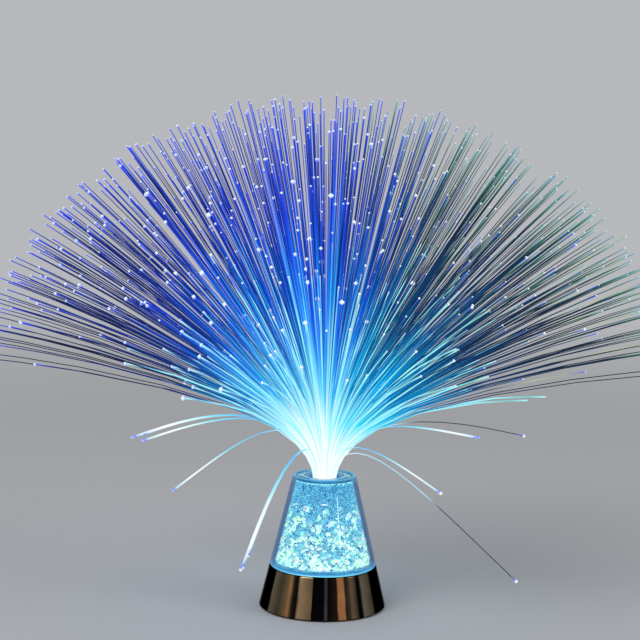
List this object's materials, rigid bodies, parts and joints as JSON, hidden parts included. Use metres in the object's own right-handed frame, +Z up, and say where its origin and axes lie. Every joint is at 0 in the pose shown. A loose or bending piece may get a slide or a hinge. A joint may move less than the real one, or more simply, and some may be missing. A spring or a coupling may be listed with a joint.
{
  "type": "fiber optic lamp",
  "caption": "Battery table lamp: a chrome skirt and a clear cone of crystal chips hold a lift-out spray of glowing light guides.",
  "frame": {"origin": "centre of the foot circle, on the surface that the lamp stands on", "axes": "+Z up along the axis of the skirt, cone and bundle; -Y to the front, as the picture sees it; +X to the right"},
  "size_m": [0.4688, 0.3979, 0.3396],
  "materials": {
    "chromed_skirt": "mirror-bright plating on moulded plastic",
    "black_plastic": "fine moulded texture",
    "screw_steel": "zinc plated",
    "foot_rubber": "matt",
    "cell_sleeve": "printed film sleeve, left plain",
    "contact_metal": "nickel plated",
    "red_lead": "insulation",
    "black_lead": "insulation",
    "board_laminate": "solder mask",
    "light_resin": "clear epoxy, lit",
    "resistor_ceramic": "coated",
    "clear_acrylic": "polished, edge lit blue",
    "chip_resin": "crushed clear resin, lit blue from below",
    "ferrule_metal": "satin",
    "light_guide": "clear plastic light guide, lit blue"
  },
  "bodies": {
    "base": {"base_skirt": "chromed_skirt", "bottom_plate": "black_plastic", "plate_screws": "screw_steel", "rubber_feet": "foot_rubber", "battery_1": "cell_sleeve", "battery_2": "cell_sleeve", "battery_3": "cell_sleeve", "battery_springs": "contact_metal", "contact_plates": "contact_metal", "switch_body": "black_plastic", "switch_pins": "contact_metal", "positive_lead": "red_lead", "negative_lead": "black_lead", "switch_lead": "red_lead", "light_board": "board_laminate", "board_screws": "screw_steel", "centre_led": "light_resin", "ring_leds": "light_resin", "resistors": "resistor_ceramic", "control_chip": "black_plastic", "cone_floor": "clear_acrylic", "clear_cone": "clear_acrylic", "top_collar": "clear_acrylic", "centre_tube": "clear_acrylic", "crystal_chips": "chip_resin"},
    "door": {"battery_door": "black_plastic", "door_screw": "screw_steel"},
    "switch": {"switch_knob": "black_plastic"},
    "bundle": {"bundle_ferrule": "ferrule_metal", "bonded_core": "light_guide", "fibres_1": "light_guide", "fibres_2": "light_guide", "fibres_3": "light_guide", "fibres_4": "light_guide", "fibres_5": "light_guide", "fibres_6": "light_guide", "fibres_7": "light_guide", "fibres_8": "light_guide", "stray_fibre_1": "light_guide", "stray_fibre_2": "light_guide", "stray_fibre_3": "light_guide", "stray_fibre_4": "light_guide", "stray_fibre_5": "light_guide", "stray_fibre_6": "light_guide", "stray_fibre_7": "light_guide", "stray_fibre_8": "light_guide"}
  },
  "joints": [
    {"name": "bundle_lift", "type": "slide", "parent": "base", "child": "bundle", "axis": [0, 0, 1], "range_m": [0, 0.065]},
    {"name": "battery_door", "type": "hinge", "parent": "base", "child": "door", "pos_m": [0, 0.0248, 0.003], "axis": [1, 0, 0], "range_deg": [0, 75]},
    {"name": "switch_slide", "type": "slide", "parent": "base", "child": "switch", "axis": [0, 1, 0], "range_m": [0, 0.002]}
  ]
}
